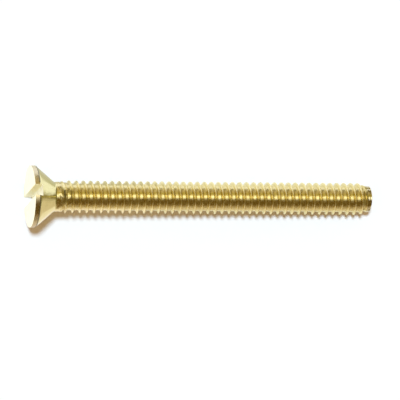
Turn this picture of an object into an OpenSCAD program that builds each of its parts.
// Slotted flat head machine screw in brass, threaded almost up to its head.
// It is one solid. It lies on its side, on the edge of its head and the last crest of its thread,
// with the head at -X, the tip at +X and the surface it lies on at z = 0.

/* [Length and thread] */
// Overall length, from the flat face of the head to the end of the tip
overall_l = 50.8; // [25:0.1:70]
// Diameter over the crests of the thread
major_d = 4.7; // [4.3:0.05:5.2]
// Number of threads in an inch of length
threads_per_inch = 24; // [20:1:32]
// Turns over which the thread fades out below the head
fade_turns = 0.75; // [0.5:0.25:3]

/* [Head] */
// Diameter of the head
head_d = 8.9; // [7.5:0.1:10.5]
// Full angle of the cone under the head
head_angle = 82; // [78:1:100]
// Width of the straight rim between the flat face and the cone
rim_w = 0.7; // [0.4:0.05:0.9]

/* [Neck] */
// Length of the plain neck between the cone and the threaded rod
neck_l = 0.2; // [0.2:0.1:2]
// How far the neck stands out past the rod that the thread is rolled into
neck_proud = 0.04; // [0.02:0.01:0.2]

/* [Slot] */
// Width of the driver slot
slot_w = 1.6; // [1.2:0.05:1.8]
// Depth of the driver slot
slot_depth = 1.15; // [0.8:0.05:1.4]
// Turn of the slot from upright, as the screw lies
slot_turn = 12.5; // [0:0.5:90]
// How far the slot was cut off the middle of the face
slot_offset = 0.05; // [0:0.05:0.3]
// Radius in the bottom corners of the slot
slot_corner_r = 0.35; // [0.1:0.05:0.5]

/* [Tip] */
// Length of the plain lead end past the last turn of the thread
tip_l = 0.55; // [0.4:0.05:2]
// How far the lead end narrows from the rod that the thread is rolled into
tip_inset = 0.19; // [0.05:0.01:0.4]

/* [Hidden] */

// A sharp 60 degree thread, of which the outer eighth and the inner quarter are flat
pitch = 25.4 / threads_per_inch;
sharp_h = pitch * cos(30);
thread_h = sharp_h * 5 / 8;
crest_w = pitch / 8;
flank_w = thread_h * tan(30);
major_r = major_d / 2;
root_r = major_r - thread_h;
// The rod that the thread is rolled into comes up to the middle of the flanks
rod_r = major_r - thread_h / 2;

head_r = head_d / 2;
neck_r = rod_r + neck_proud;
tip_r = rod_r - tip_inset;
cone_h = (head_r - neck_r) / tan(head_angle / 2);
neck_end = rim_w + cone_h + neck_l;

// Each turn is four points: foot, crest, crest and foot, by place along the axis and by radius
form_z = [0, flank_w, flank_w + crest_w, 2 * flank_w + crest_w];
form_r = [root_r, major_r, major_r, root_r];

// Flat steps in a turn, turns over which the thread fades out at the tip, and how far the rod
// reaches into the head
turn_steps = 24;
end_turns = 0.35;
buried_l = 0.3;

// Whole turns that fit between the neck and the lead end, placed so that the last one ends at it
thread_end = overall_l - tip_l;
turns = floor((thread_end - form_z[3] - neck_end) / pitch);
helix_start = thread_end - form_z[3] - turns * pitch;

// At rest, the edge of the rim and the last full crest touch one plane. The thread starts and ends
// on the side that the screw lies on, so that crest is one turn from the end.
last_crest = helix_start + (turns - 1) * pitch + form_z[2];
lay = atan((head_r - major_r) / (last_crest - rim_w));
face_mid_z = head_r * cos(lay) + rim_w * sin(lay);
mid_x = (overall_l * cos(lay) + (tip_r - head_r) * sin(lay)) / 2;

$fn = 96;

// Radius of a point of the helix that is so many turns along
function thread_r(along, form) =
    rod_r + min(1, along / fade_turns, (turns - along) / end_turns) * (form_r[form] - rod_r);

function ring_point(step, r, z) =
    let (a = 360 * step / turn_steps) [r * cos(a), r * sin(a), z];
function helix_point(step, turn, form) =
    let (along = turn + step / turn_steps)
    ring_point(step, thread_r(along, form), helix_start + along * pitch + form_z[form]);
// Where the last groove has come back up to the rod
function shoulder_point(step) =
    ring_point(step, rod_r, thread_end + (step / turn_steps - 1) * pitch + flank_w / 2);

// One row of points along the rod: its buried end, every turn of the helix, the shoulder and the tip
function row_points(step) = concat(
    [ring_point(step, rod_r, neck_end - buried_l)],
    [for (turn = [0:turns - 1], form = [0:3]) helix_point(step, turn, form)],
    [shoulder_point(step), ring_point(step, tip_r, overall_l)]);

// The threaded rod as one closed skin. Neighbouring rows join point to point. Across the seam,
// where a turn is complete, each point joins the one four points further along.
module threaded_rod() {
    count = 4 * turns + 3;
    seam_row = (turn_steps - 1) * count;
    sides = [for (step = [0:turn_steps - 2], i = [0:count - 2], half = [0, 1])
        let (a = step * count + i, b = a + count)
        half == 0 ? [a, a + 1, b + 1] : [a, b + 1, b]];
    seam = [for (i = [1:count - 7], half = [0, 1])
        let (a = seam_row + i, b = i + 4)
        half == 0 ? [a, a + 1, b + 1] : [a, b + 1, b]];
    seam_start = [[seam_row, seam_row + 1, 5],
        for (i = [0:4]) [seam_row, i + 1, i]];
    seam_finish = [for (i = [count - 6:count - 3]) [seam_row + i, seam_row + i + 1, count - 2],
        [seam_row + count - 2, seam_row + count - 1, count - 1],
        [seam_row + count - 2, count - 1, count - 2]];
    ends = [[for (step = [0:turn_steps - 1]) step * count],
        [for (step = [turn_steps - 1:-1:0]) step * count + count - 1]];
    polyhedron(
        [for (step = [0:turn_steps - 1]) each row_points(step)],
        concat(sides, seam, seam_start, seam_finish, ends));
}

// Rim, cone and neck, with the flat face at z = 0
module head_blank() {
    rotate_extrude()
        polygon([[0, 0], [head_r, 0], [head_r, rim_w], [neck_r, rim_w + cone_h],
            [neck_r, neck_end], [0, neck_end]]);
}

module slot_cut() {
    rotate(-slot_turn)
        translate([0, slot_offset, 0])
            rotate([90, 0, 90])
                linear_extrude(2 * head_d, center = true)
                    hull() {
                        for (side = [-1, 1])
                            translate([side * (slot_w / 2 - slot_corner_r), slot_depth - slot_corner_r])
                                circle(slot_corner_r, $fn = 24);
                        translate([-slot_w / 2, -1])
                            square([slot_w, 1]);
                    }
}

module screw() {
    color("gold")
        translate([-mid_x, 0, face_mid_z])
            rotate([0, 90 + lay, 0])
                difference() {
                    union() {
                        head_blank();
                        threaded_rod();
                    }
                    slot_cut();
                }
}

screw();
